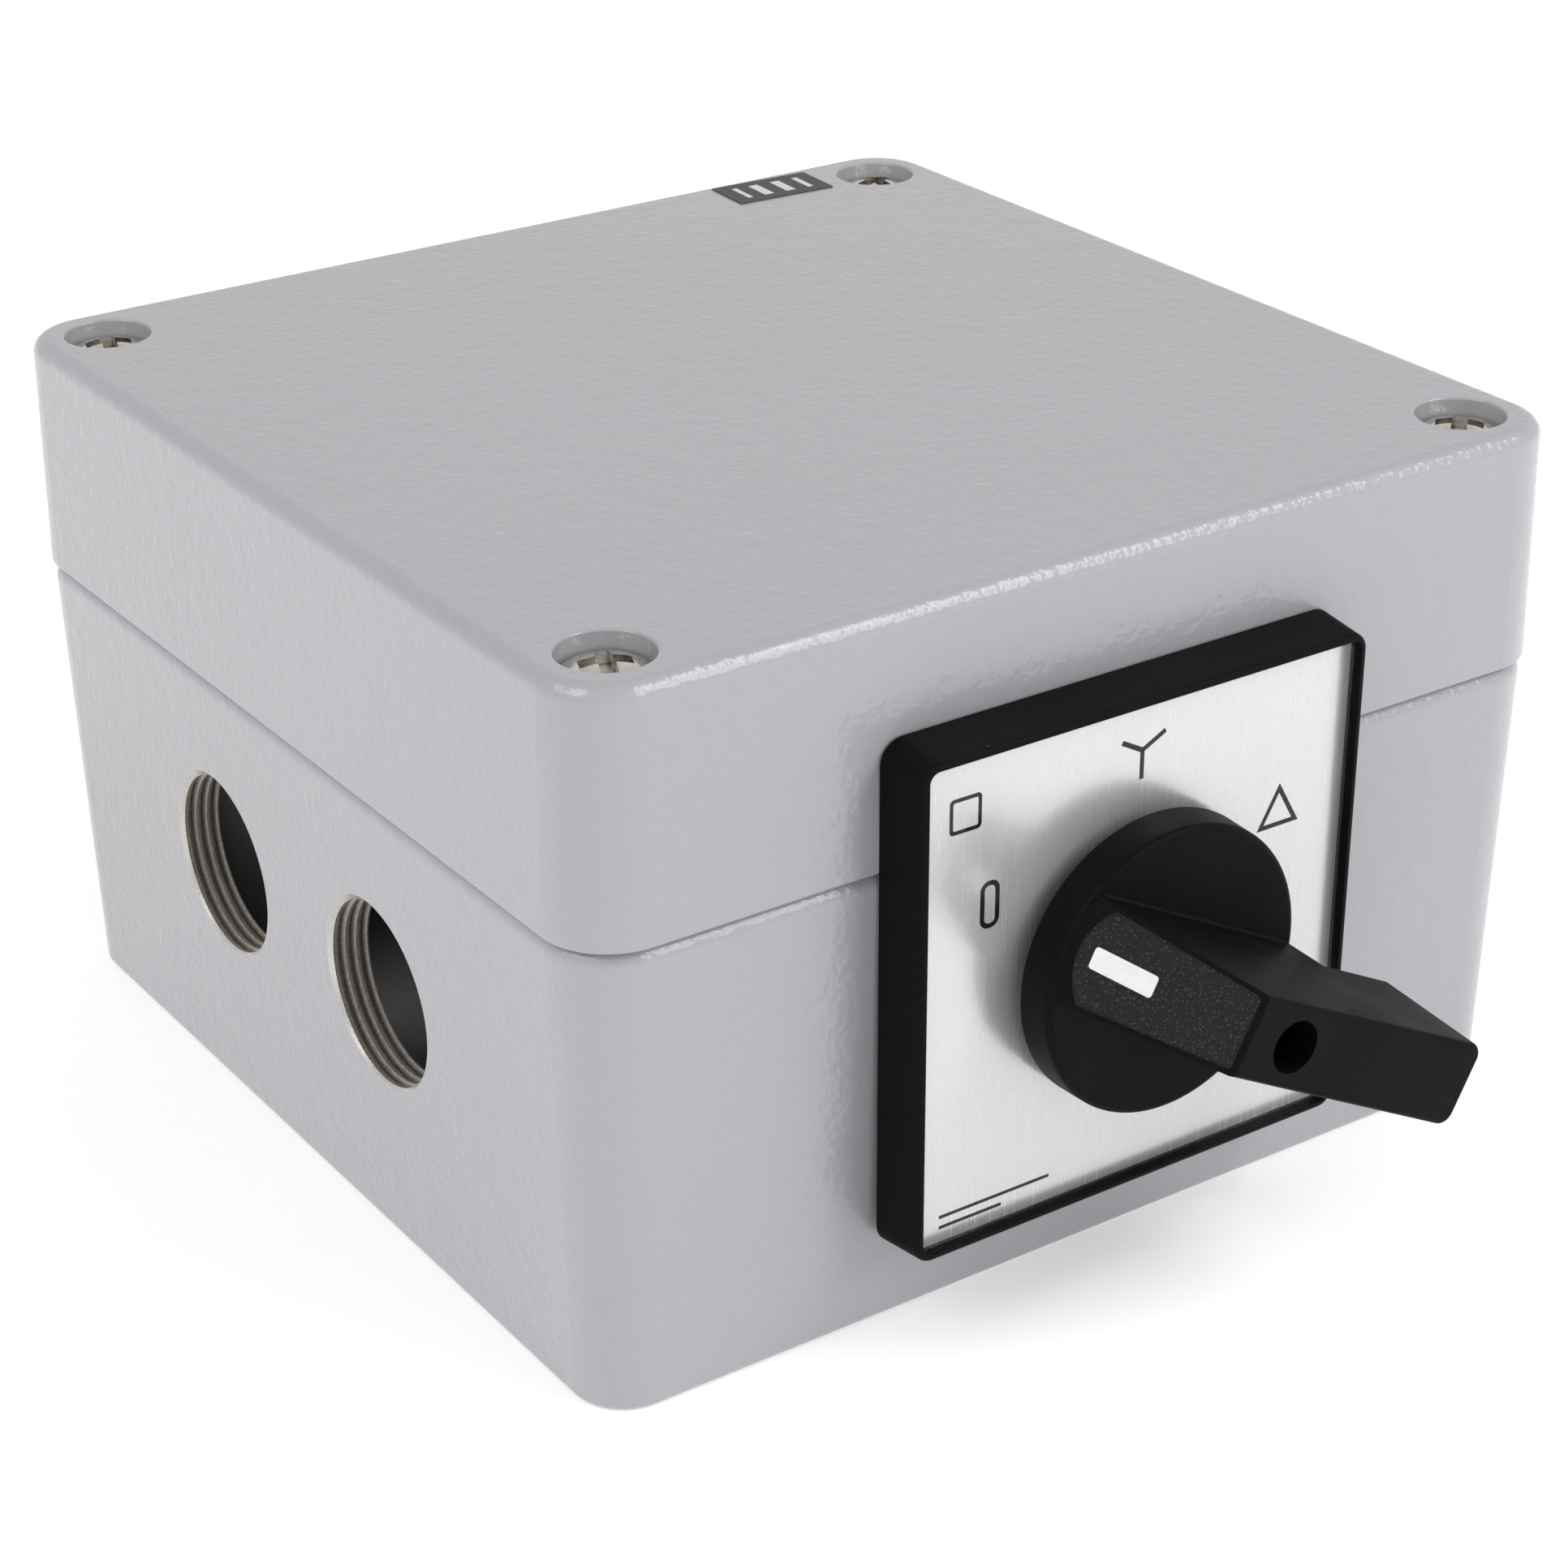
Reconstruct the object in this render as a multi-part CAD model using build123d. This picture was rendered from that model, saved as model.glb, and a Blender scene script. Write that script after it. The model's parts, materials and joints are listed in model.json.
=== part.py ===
from build123d import *

import os
from math import atan2, cos, degrees, radians, sin

# Rotary star-delta motor starter in a die-cast box.
# Millimetres. Origin at the centre of the box's flat back, +Z out through the lid.
# The switch handle faces -Y and the two cable entries face -X.

# ---- Box ----
BOX_WIDTH = 140.0  # outside width and depth at the parting line
BOX_HEIGHT = 91.0
PARTING_Z = 60.3  # where the lid meets the base
BOX_CORNER = 8.4
WALL = 4.5
FLOOR = 4.0
BASE_DRAFT = 1.4  # degrees, base narrows towards its back
LID_DRAFT = 1.0  # degrees, lid narrows towards its top
LID_OVERHANG = 0.35  # lid edge stands outside the base edge by this much
BASE_RIM_ROUND = 2.2
LID_RIM_ROUND = 0.5
LID_TOP_ROUND = 2.1
BACK_EDGE_ROUND = 1.0
POST_X = 49.0  # corner posts fill x beyond this
POST_Y = 40.0  # and y beyond this
INSIDE_CORNER = 3.0

# ---- Seal between base and lid ----
SEAL_OUT = 0.6  # seal groove starts this far outside the cavity
SEAL_WIDTH = 1.6
SEAL_DEPTH = 2.2

# ---- Lid screws and wall fixings ----
SCREW_AT = 60.6  # lid screws, from the centre in x and in y
COUNTERBORE_R = 5.5
COUNTERBORE_ROUND = 0.35
SCREW_HEAD_R = 5.0
SCREW_HEAD_TOP = 90.1
SCREW_HEAD_THICK = 3.3
SCREW_DOME_R = 9.6
SCREW_SLOT = 1.9
SCREW_SLOT_DEPTH = 1.1
SCREW_CROSS_DEPTH = 2.0
SCREW_SHANK_R = 2.4
SCREW_TIP_Z = 42.0
FIXING_Y = 49.0  # wall fixing holes at (SCREW_AT, FIXING_Y)
FIXING_HOLE_R = 2.75
FIXING_SINK_R = 5.5
FIXING_SHELF_Z = 8.0

# ---- Cable entries, M25 x 1.5 ----
ENTRY_Y = 20.2
ENTRY_Z = 33.8
ENTRY_LAND_R = 11.7
ENTRY_THREAD_R = 12.45
THREAD_PITCH = 1.5
THREAD_GROOVES = 3
ENTRY_CHAMFER = 0.55
ENTRY_PAD_R = 15.5  # thicker wall round each entry, on the inside
ENTRY_PAD_X = -64.0

# ---- Rating plate on the lid ----
PLATE_SIZE = (15.4, 8.3, 0.15)
PLATE_AT = (44.3, 63.0)
PLATE_TURN = -3.0

# ---- Switch front: distances outwards from the plane y = -70 ----
FACE_Y = -70.0
AXIS_Z = 43.6
BEZEL_RISE = 0.5  # the square bezel sits this far above the switch axis
BEZEL_BACK = 0.45
BEZEL_FRONT = 7.5
BEZEL_SIZE = 64.9
BEZEL_FRONT_SIZE = 63.4
BEZEL_CORNER = 3.0
BEZEL_FLOOR = 4.9
LEGEND_SIZE = 61.8
LEGEND_CORNER = 1.3
LEGEND_THICK = 0.8
WINDOW_THICK = 1.1
WINDOW_GAP = 0.06  # air between the plate and its clear cover
LEGEND_HOLE_R = 10.5
NECK_R = 10.95
NECK_HOLE_R = 11.15
NECK_BORE_R = 6.15
NECK_END_Y = -56.0
NUT_PAD_Y = -64.6  # flat seat for the nut, inside the front wall
NUT_PAD_R = 15.9
NUT_THICK = 5.0
NUT_FLATS = 27.0

# ---- Earth terminal, on a post cast in the floor ----
EARTH_AT = (-39.0, 52.0)
EARTH_POST_R = 5.5
EARTH_POST_HEIGHT = 6.0
EARTH_CLAMP_THICK = 1.5

# ---- Handle, with u along the grip and n outwards ----
GRIP_TURN = 28.0  # degrees the grip points below +X
DISC_BACK = 8.0
DISC_FRONT = 13.0
DISC_R = 18.0
GRIP_FRONT = 33.6
RAMP_FOOT_U = -17.2
RIDGE_U = -7.4
GRIP_TIP_U = 30.9
GRIP_UNDERSIDE = 18.0
HEEL_U = 17.5
GRIP_EDGE_ROUND = 0.6
GRIP_ROOT_ROUND = 0.35
HUB_R = 6.1
HUB_END = -4.0
SCREW_WELL_R = 3.2
SCREW_SEAT = 9.8
INSERT_RECESS = 0.2
INSERT_THICK = 0.9
MARK_LENGTH = 8.0
MARK_WIDTH = 2.6

# ---- Switch body behind the front wall, y of each layer's front face ----
BLOCK = 46.0  # outside of every layer, across and up
FRONT_PLATE_Y = -56.0
DETENT_Y = -53.0
STOP_Y = -41.0
CHAMBER_Y = -38.5
CHAMBER_PITCH = 12.0
CHAMBERS = 4
REAR_PLATE_Y = CHAMBER_Y + CHAMBERS * CHAMBER_PITCH
REAR_PLATE_THICK = 3.0
BORE_R = 11.0
SHAFT_SQUARE = 7.0
SOCKET_SQUARE = 7.1
ROD_X = 18.0
ROD_R = 1.75
SWITCH_TRAVEL = 120.0  # degrees from off to delta

# ---- Contacts: rho is the distance from the shaft axis, up or down ----
CAM_OPEN_R = 10.0
CAM_CLOSED_R = 8.0
NOSE_RHO = 10.1
SHOULDER_RHO = 12.5
BRIDGE_RHO = 14.4
BRIDGE_THICK = 1.2
BUTTON_X = 13.0
BUTTON_R = 2.0
BUTTON_THICK = 1.0
SPRING_END_RHO = 20.6
STRIP_RHO = 9.4
STRIP_THICK = 1.0
POCKET_X = 16.2
NOTCH_X = 17.3
CONTACT_MID = 7.0  # contact centreline, from the chamber's front face
DETENT_LOBE_R = 10.8
ROLLER_R = 2.2
ROLLER_RHO = 13.4

CORNERS = [(sx, sy) for sx in (-1, 1) for sy in (-1, 1)]

# Each contact: name, chamber number from the front, side (1 above the shaft, -1 below), kind.
CONTACTS = [
    ("line_1", 0, 1, "line"),
    ("line_2", 0, -1, "line"),
    ("line_3", 1, 1, "line"),
    ("star_1", 1, -1, "star"),
    ("star_2", 2, 1, "star"),
    ("delta_1", 2, -1, "delta"),
    ("delta_2", 3, 1, "delta"),
    ("delta_3", 3, -1, "delta"),
]


# ---------------------------------------------------------------- helpers


def front_view(y):
    """Plane at y seen from the front: local x is +X, local y is up from the shaft axis."""
    return Plane(origin=(0, y, AXIS_Z), x_dir=(1, 0, 0), z_dir=(0, -1, 0))


def layer(sketch, y_front, y_back):
    """A sketch drawn in front view, filled from y_front back to y_back."""
    return extrude(front_view(y_back) * sketch, amount=y_back - y_front)


def outward(sketch, n_back, n_front):
    """A sketch drawn in front view, filled between two distances out from the face plane."""
    return layer(sketch, FACE_Y - n_front, FACE_Y - n_back)


def upright(radius, z_low, z_high):
    """A cylinder along Z about the origin."""
    return Pos(0, 0, (z_low + z_high) / 2) * Cylinder(radius, z_high - z_low)


def post_outline(grow, radius):
    """Inside of the box with its four corner posts left out, moved outwards by grow."""
    half = BOX_WIDTH / 2 - WALL + grow
    wide = Rectangle(2 * half, 2 * (POST_Y + grow))
    tall = Rectangle(2 * (POST_X + grow), 2 * half)
    outline = wide + tall
    return fillet(outline.vertices(), radius)


def drafted(outline, z, height, draft):
    """Fills an outline from z by height, narrowing by draft; a negative height goes down."""
    facing = 1 if height > 0 else -1
    plane = Plane(origin=(0, 0, z), x_dir=(1, 0, 0), z_dir=(0, 0, facing))
    return extrude(plane * outline, amount=abs(height), taper=draft)


# ---------------------------------------------------------------- box


def base_outside():
    """Outer shape of the base, rounded at the back edge and at the parting line."""
    outline = RectangleRounded(BOX_WIDTH, BOX_WIDTH, BOX_CORNER)
    body = drafted(outline, PARTING_Z, -PARTING_Z, BASE_DRAFT)
    body = fillet(body.edges().group_by(Axis.Z)[-1], BASE_RIM_ROUND)
    return fillet(body.edges().group_by(Axis.Z)[0], BACK_EDGE_ROUND)


def entry_cutter():
    """One cable entry along X: lands, thread grooves and an outer chamfer."""
    outside_x = -BOX_WIDTH / 2
    hole = Pos(outside_x, 0, 0) * Rot(0, 90, 0) * Cylinder(ENTRY_LAND_R, 30)
    mouth_x = outside_x + 0.65
    mouth_r = ENTRY_LAND_R + ENTRY_CHAMFER
    mouth = Polygon(
        (mouth_x - 3, 0),
        (mouth_x - 3, mouth_r + 3),
        (mouth_x + ENTRY_CHAMFER, ENTRY_LAND_R),
        (mouth_x + ENTRY_CHAMFER, 0),
        align=None,
    )
    hole += revolve(mouth, Axis.X)
    half_mouth, half_root = 0.55, 0.1
    for turn in range(THREAD_GROOVES):
        x = mouth_x + ENTRY_CHAMFER + 1.05 + turn * THREAD_PITCH
        groove = Polygon(
            (x - half_mouth, ENTRY_LAND_R - 0.5),
            (x - half_mouth, ENTRY_LAND_R),
            (x - half_root, ENTRY_THREAD_R),
            (x + half_root, ENTRY_THREAD_R),
            (x + half_mouth, ENTRY_LAND_R),
            (x + half_mouth, ENTRY_LAND_R - 0.5),
            align=None,
        )
        hole += revolve(groove, Axis.X)
    return hole


def make_enclosure_base():
    body = base_outside()
    body -= drafted(post_outline(0, INSIDE_CORNER), PARTING_Z, FLOOR - PARTING_Z, BASE_DRAFT)
    body += layer(Circle(NUT_PAD_R), -68, NUT_PAD_Y)
    body -= layer(Circle(NECK_HOLE_R), -75, -60)
    pad_x = ENTRY_PAD_X - 1
    for side in (-1, 1):
        pad = Pos(pad_x, 0, 0) * Rot(0, 90, 0) * Cylinder(ENTRY_PAD_R, 2)
        body += Pos(0, side * ENTRY_Y, ENTRY_Z) * pad
        body -= Pos(0, side * ENTRY_Y, ENTRY_Z) * entry_cutter()
    for sx, sy in CORNERS:
        body -= Pos(sx * SCREW_AT, sy * SCREW_AT, 0) * upright(2.5, 40, PARTING_Z + 1)
        fixing = upright(FIXING_HOLE_R, -1, FIXING_SHELF_Z + 1)
        fixing += upright(FIXING_SINK_R, FIXING_SHELF_Z, PARTING_Z + 1)
        body -= Pos(sx * SCREW_AT, sy * FIXING_Y, 0) * fixing
    post_top = FLOOR + EARTH_POST_HEIGHT
    body += Pos(*EARTH_AT) * upright(EARTH_POST_R, FLOOR - 1, post_top)
    body -= Pos(*EARTH_AT) * upright(2.05, FLOOR, post_top + 1)
    return body


def seal_ring(gap=0.0):
    outer = post_outline(SEAL_OUT + SEAL_WIDTH + gap, INSIDE_CORNER)
    inner = post_outline(SEAL_OUT - gap, INSIDE_CORNER)
    return Pos(0, 0, PARTING_Z) * (outer - inner)


def make_enclosure_lid():
    width = BOX_WIDTH + 2 * LID_OVERHANG
    outline = RectangleRounded(width, width, BOX_CORNER + LID_OVERHANG)
    body = drafted(outline, PARTING_Z, BOX_HEIGHT - PARTING_Z, LID_DRAFT)
    body = fillet(body.edges().group_by(Axis.Z)[-1], LID_TOP_ROUND)
    body = fillet(body.edges().group_by(Axis.Z)[0], LID_RIM_ROUND)
    roof_z = BOX_HEIGHT - FLOOR
    body -= drafted(post_outline(0, INSIDE_CORNER), PARTING_Z, roof_z - PARTING_Z, LID_DRAFT)
    body -= extrude(seal_ring(0.05), amount=SEAL_DEPTH)
    for sx, sy in CORNERS:
        seat_z = SCREW_HEAD_TOP - SCREW_HEAD_THICK
        hole = upright(2.8, PARTING_Z - 1, BOX_HEIGHT)
        hole += upright(COUNTERBORE_R, seat_z, BOX_HEIGHT + 1)
        body -= Pos(sx * SCREW_AT, sy * SCREW_AT, 0) * hole
    mouths = body.edges().filter_by(GeomType.CIRCLE).group_by(Axis.Z)[-1]
    mouths = mouths.filter_by(lambda edge: abs(edge.radius - COUNTERBORE_R) < 0.01)
    return fillet(mouths, COUNTERBORE_ROUND)


def make_lid_gasket():
    return extrude(seal_ring(), amount=SEAL_DEPTH)


def lid_screw():
    """Domed screw with a combined cross and slot."""
    seat_z = SCREW_HEAD_TOP - SCREW_HEAD_THICK
    head = upright(SCREW_HEAD_R, seat_z, SCREW_HEAD_TOP)
    head &= Pos(0, 0, SCREW_HEAD_TOP - SCREW_DOME_R) * Sphere(SCREW_DOME_R)
    head -= Pos(0, 0, SCREW_HEAD_TOP) * Box(SCREW_SLOT, 3 * SCREW_HEAD_R, 2 * SCREW_SLOT_DEPTH)
    cross_length = 1.16 * SCREW_HEAD_R
    for turn in (0, 90):
        arm = Rot(0, 0, turn) * Box(SCREW_SLOT, cross_length, 2 * SCREW_CROSS_DEPTH)
        head -= Pos(0, 0, SCREW_HEAD_TOP) * arm
    return head + upright(SCREW_SHANK_R, SCREW_TIP_Z, seat_z)


def make_lid_screws():
    turns = {(-1, -1): -21, (-1, 1): -16, (1, -1): -48, (1, 1): 8}
    screws = []
    for sx, sy in CORNERS:
        screws.append(Pos(sx * SCREW_AT, sy * SCREW_AT, 0) * Rot(0, 0, turns[(sx, sy)]) * lid_screw())
    return Compound(children=[screw.solid() for screw in screws])


def make_rating_plate():
    width, height, thick = PLATE_SIZE
    plate = extrude(RectangleRounded(width, height, 0.2), amount=thick)
    return Pos(*PLATE_AT, BOX_HEIGHT) * Rot(0, 0, PLATE_TURN) * plate


def make_earth_clamp():
    """Square saddle washer that holds the earth wire on its post."""
    clamp = Box(9, 9, EARTH_CLAMP_THICK) - Cylinder(2.4, 3)
    return Pos(*EARTH_AT, FLOOR + EARTH_POST_HEIGHT + EARTH_CLAMP_THICK / 2) * clamp


def make_earth_screw():
    seat_z = FLOOR + EARTH_POST_HEIGHT + EARTH_CLAMP_THICK
    head = upright(4.2, seat_z, seat_z + 3)
    head -= Pos(0, 0, seat_z + 3) * Box(1.2, 12, 2.4)
    return Pos(*EARTH_AT) * (head + upright(2.0, FLOOR + 1, seat_z))


# ---------------------------------------------------------------- bezel and legend


def make_bezel_frame():
    slope = degrees(atan2((BEZEL_SIZE - BEZEL_FRONT_SIZE) / 2, BEZEL_FRONT - BEZEL_BACK))
    outline = Pos(0, BEZEL_RISE) * RectangleRounded(BEZEL_SIZE, BEZEL_SIZE, BEZEL_CORNER)
    frame = extrude(
        front_view(FACE_Y - BEZEL_BACK) * outline, amount=BEZEL_FRONT - BEZEL_BACK, taper=slope
    )
    frame = fillet(frame.edges().group_by(Axis.Y)[0], 0.6)
    recess = Pos(0, BEZEL_RISE) * RectangleRounded(LEGEND_SIZE, LEGEND_SIZE, LEGEND_CORNER)
    frame -= outward(recess, BEZEL_FLOOR, BEZEL_FRONT + 1)
    hollow = RectangleRounded(59, 59, 2) - Circle(14)
    hollow -= Rectangle(60, 1.6) + Rectangle(1.6, 60)
    frame -= outward(hollow, BEZEL_BACK - 1, BEZEL_FLOOR - 2)
    frame += layer(Circle(NECK_R), FACE_Y - BEZEL_BACK - 1, NECK_END_Y)
    return frame - layer(Circle(NECK_BORE_R), FACE_Y - 10, NECK_END_Y + 1)


def make_bezel_seal():
    """Rubber pad that fills the drafted gap between the bezel and the base."""
    low = 13.5 - AXIS_Z
    high = PARTING_Z - BASE_RIM_ROUND - 0.4 - AXIS_Z
    pad = Pos(0, (low + high) / 2) * RectangleRounded(62, high - low, 2.5)
    return outward(pad - Circle(NECK_HOLE_R), -2.5, BEZEL_BACK) - base_outside()


def stroke(start, end, width):
    """A straight stroke of even width between two points."""
    dx, dy = end[0] - start[0], end[1] - start[1]
    length = (dx * dx + dy * dy) ** 0.5
    middle = Pos((start[0] + end[0]) / 2, (start[1] + end[1]) / 2)
    return middle * Rot(0, 0, degrees(atan2(dy, dx))) * Rectangle(length + width, width)


def legend_sketch():
    """Off, star and delta marks, sixty degrees apart, with two plain ornaments at the left."""
    line = 0.62
    off = RectangleRounded(2.7, 6.0, 1.25) - RectangleRounded(2.7 - 2 * line, 6.0 - 2 * line, 0.65)
    star = stroke((0, 21.8), (0, 25.1), line)
    star += stroke((0, 25.1), (3.0, 26.6), line) + stroke((0, 25.1), (-2.7, 26.6), line)
    delta = Polygon((17.9, 9.4), (24.3, 9.4), (21.1, 15.0), align=None)
    delta -= offset(delta, -line, kind=Kind.INTERSECTION)
    frame = RectangleRounded(4.4, 4.4, 0.6) - RectangleRounded(3.4, 3.4, 0.2)
    rules = Rectangle(16, 0.45) + Pos(-3.5, -1.4) * Rectangle(9, 0.45)
    return Sketch(
        children=[
            Pos(-21.1, 12.0) * off,
            star,
            delta,
            Pos(-24.7, 24.2) * frame,
            Pos(-19.4, -27.0) * rules,
        ]
    )


def make_legend_marks():
    front = BEZEL_FLOOR + LEGEND_THICK
    marks = outward(legend_sketch(), front - 0.15, front)
    return Compound(children=list(marks.solids()))


def make_legend_plate():
    front = BEZEL_FLOOR + LEGEND_THICK
    size = LEGEND_SIZE - 0.1
    outline = Pos(0, BEZEL_RISE) * RectangleRounded(size, size, LEGEND_CORNER) - Circle(LEGEND_HOLE_R)
    plate = outward(outline, BEZEL_FLOOR, front)
    return plate - make_legend_marks()


def make_legend_window():
    back = BEZEL_FLOOR + LEGEND_THICK + WINDOW_GAP
    size = LEGEND_SIZE - 0.1
    outline = Pos(0, BEZEL_RISE) * RectangleRounded(size, size, LEGEND_CORNER)
    window = outward(outline, back, back + WINDOW_THICK)
    window = chamfer(window.edges().group_by(Axis.Y)[0], 0.6)
    return window - outward(Circle(LEGEND_HOLE_R), back - 1, back + WINDOW_THICK + 1)


def make_mounting_nut():
    hexagon = RegularPolygon(NUT_FLATS / 2, 6, major_radius=False)
    return layer(hexagon - Circle(NECK_R + 0.05), NUT_PAD_Y, NUT_PAD_Y + NUT_THICK)


# ---------------------------------------------------------------- handle


def on_handle(shape):
    """Moves a shape from handle axes (u along the grip, v across, n outwards) to its place."""
    turn = radians(GRIP_TURN)
    plane = Plane(origin=(0, FACE_Y, AXIS_Z), x_dir=(cos(turn), 0, -sin(turn)), z_dir=(0, -1, 0))
    return plane * shape


def grip_section(n, widen=0.0):
    """Plan of the grip at one height: it widens towards the disc and the tip is rounded."""
    flare = 0.077 * (GRIP_FRONT - n)
    near, far = 4.85 + flare + widen, 5.15 + 0.85 * flare + widen
    tail = RAMP_FOOT_U - 2
    plan = Polygon((tail, -near), (GRIP_TIP_U, -far), (GRIP_TIP_U, far), (tail, near), align=None)
    plan = fillet(plan.vertices().group_by(Axis.X)[-1], 1.8)
    return Pos(0, 0, n) * plan


def ramp_u(n):
    """Where the steep front panel stands at height n."""
    share = (n - DISC_FRONT) / (GRIP_FRONT - DISC_FRONT)
    return RAMP_FOOT_U + share * (RIDGE_U - RAMP_FOOT_U)


def make_root_fillet():
    """Concave fillet along the grip's sides, where they meet the disc's face."""
    sections = [grip_section(DISC_FRONT - 0.5, GRIP_ROOT_ROUND)]
    for step in range(5):
        angle = radians(90 * step / 4)
        n = DISC_FRONT + GRIP_ROOT_ROUND * (1 - cos(angle))
        sections.append(grip_section(n, GRIP_ROOT_ROUND * (1 - sin(angle))))
    return loft(sections, ruled=True) & Cylinder(DISC_R - 0.9, 90)


def make_grip():
    root_n = DISC_FRONT - 1
    solid = loft([grip_section(GRIP_FRONT), grip_section(root_n)], ruled=True) + make_root_fillet()
    side = Polygon(
        (ramp_u(root_n), root_n),
        (RIDGE_U, GRIP_FRONT),
        (GRIP_TIP_U, GRIP_FRONT),
        (GRIP_TIP_U, GRIP_UNDERSIDE),
        (HEEL_U, GRIP_UNDERSIDE),
        (HEEL_U - 1.1, root_n),
        align=None,
    )
    solid &= extrude(Plane.XZ * side, amount=15, both=True)
    within_disc = Cylinder(DISC_R - 0.1, 90) + Pos(30, 0, 0) * Box(60, 60, 90)
    solid &= within_disc
    front_edges = solid.edges().filter_by(lambda edge: edge.center().Z > GRIP_FRONT - 0.01)
    return fillet(front_edges, GRIP_EDGE_ROUND)


def ramp_plane():
    """Plane on the steep front panel, local y up the panel, from the panel's foot."""
    du, dn = RIDGE_U - RAMP_FOOT_U, GRIP_FRONT - DISC_FRONT
    length = (du * du + dn * dn) ** 0.5
    return Plane(
        origin=(RAMP_FOOT_U, 0, DISC_FRONT), x_dir=(0, -1, 0), z_dir=(-dn / length, 0, du / length)
    )


def insert_slab(depth_out, depth_in):
    """The textured panel's outline, filled between two depths below the ramp."""
    outline = Polygon((-6.0, 0), (6.0, 0), (4.4, 22.1), (-4.4, 22.1), align=None)
    outline = fillet(outline.vertices().group_by(Axis.Y)[-1], 0.8)
    sunk = ramp_plane().offset(-depth_in)
    slab = extrude(sunk * outline, amount=depth_in - depth_out)
    return slab & Cylinder(DISC_R - 1.1, 90)


def make_handle():
    disc = extrude(
        Pos(0, 0, DISC_BACK) * Circle(DISC_R + 0.2), amount=DISC_FRONT - DISC_BACK, taper=2.3
    )
    disc = fillet(disc.edges().group_by(Axis.Z)[-1], 0.8)
    handle = disc + make_grip()
    handle += upright(HUB_R, HUB_END, DISC_BACK + 1)
    handle -= insert_slab(-1.0, INSERT_RECESS + INSERT_THICK)
    handle -= upright(SCREW_WELL_R, SCREW_SEAT, GRIP_FRONT + 1)
    handle -= upright(2.1, SCREW_SEAT - 2, SCREW_SEAT + 1)
    socket = SCREW_SEAT - 0.8 - HUB_END
    handle -= Pos(0, 0, HUB_END + socket / 2) * Box(SOCKET_SQUARE, SOCKET_SQUARE, socket)
    groove = upright(HUB_R + 1, -1.5, 0.1) - upright(5.3, -1.5, 0.1)
    return on_handle(handle - groove)


def mark_slab(depth_out, depth_in):
    middle_s = 2.6 + MARK_LENGTH / 2
    outline = Pos(0, middle_s) * RectangleRounded(MARK_WIDTH, MARK_LENGTH, 0.4)
    return extrude(ramp_plane().offset(-depth_in) * outline, amount=depth_in - depth_out)


def make_pointer_insert():
    panel = insert_slab(INSERT_RECESS, INSERT_RECESS + INSERT_THICK)
    panel -= mark_slab(INSERT_RECESS - 0.1, INSERT_RECESS + 0.3)
    return on_handle(panel)


def make_pointer_mark():
    return on_handle(mark_slab(INSERT_RECESS - 0.04, INSERT_RECESS + 0.3))


def make_handle_screw():
    screw = upright(3.0, SCREW_SEAT, SCREW_SEAT + 2.6)
    screw -= Pos(0, 0, SCREW_SEAT + 2.6) * (Box(3.6, 0.9, 2.8) + Box(0.9, 3.6, 2.8))
    screw += upright(1.9, 1.0, SCREW_SEAT)
    return on_handle(screw)


def make_shaft():
    front_y = FACE_Y - SCREW_SEAT + 1.0
    shaft = layer(Rectangle(SHAFT_SQUARE, SHAFT_SQUARE), front_y, REAR_PLATE_Y - 1.0)
    shaft = Location((0, 0, AXIS_Z)) * Rot(0, GRIP_TURN, 0) * (Location((0, 0, -AXIS_Z)) * shaft)
    shaft += layer(Circle(3.0), REAR_PLATE_Y - 2.0, REAR_PLATE_Y + 2.5)
    return shaft - layer(Circle(1.95), front_y - 1, FACE_Y + 2)


def make_shaft_seal():
    ring = upright(HUB_R, -1.5, 0.1) - upright(5.3, -1.5, 0.1)
    return on_handle(ring)


# ---------------------------------------------------------------- switch body


def square_hole():
    return Rot(0, 0, -GRIP_TURN) * Rectangle(SOCKET_SQUARE, SOCKET_SQUARE)


def block_sketch():
    """Outline of a layer with its two tie-rod holes."""
    outline = RectangleRounded(BLOCK, BLOCK, 1.5)
    for side in (-1, 1):
        outline -= Pos(side * ROD_X, 0) * Circle(ROD_R + 0.05)
    return outline


def make_switch_front_plate():
    plate = layer(block_sketch() - Circle(6.6), FRONT_PLATE_Y, DETENT_Y)
    collar = Circle(14) - Circle(NECK_R + 0.05)
    return plate + layer(collar, FRONT_PLATE_Y - 3.2, FRONT_PLATE_Y)


def make_detent_housing():
    block = layer(block_sketch(), DETENT_Y, STOP_Y)
    block -= layer(Circle(BORE_R), DETENT_Y - 1, STOP_Y + 1)
    for side in (-1, 1):
        slot = Pos(0, side * 15.5) * Rectangle(5.2, 10.6)
        block -= layer(slot, DETENT_Y + 3, STOP_Y + 1)
    return block


def make_detent_star():
    """Six-lobed wheel with a notch for each sixty-degree step."""
    wheel = Circle(DETENT_LOBE_R)
    for step in range(6):
        angle = radians(90 + 60 * step)
        wheel -= Pos(12.6 * cos(angle), 12.6 * sin(angle)) * Circle(3.2)
    wheel -= square_hole()
    return layer(wheel, DETENT_Y + 2, STOP_Y - 1)


def make_detent_rollers():
    rollers = []
    for side in (-1, 1):
        rollers.append(layer(Pos(0, side * ROLLER_RHO) * Circle(ROLLER_R), DETENT_Y + 3.5, STOP_Y - 1.5))
    return Compound(children=[roller.solid() for roller in rollers])


def coil(x, y, rho_low, rho_high, side, radius, wire):
    """Compression spring standing along Z, between two distances from the shaft axis."""
    height = rho_high - rho_low - 2 * wire
    path = Helix(pitch=height / 3, height=height, radius=radius)
    section = Plane(origin=path @ 0, z_dir=path % 0) * Circle(wire)
    spring = sweep(section, path=path, is_frenet=True)
    low = AXIS_Z + rho_low + wire if side > 0 else AXIS_Z - rho_high + wire
    return (Pos(x, y, low) * spring).solid()


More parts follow.
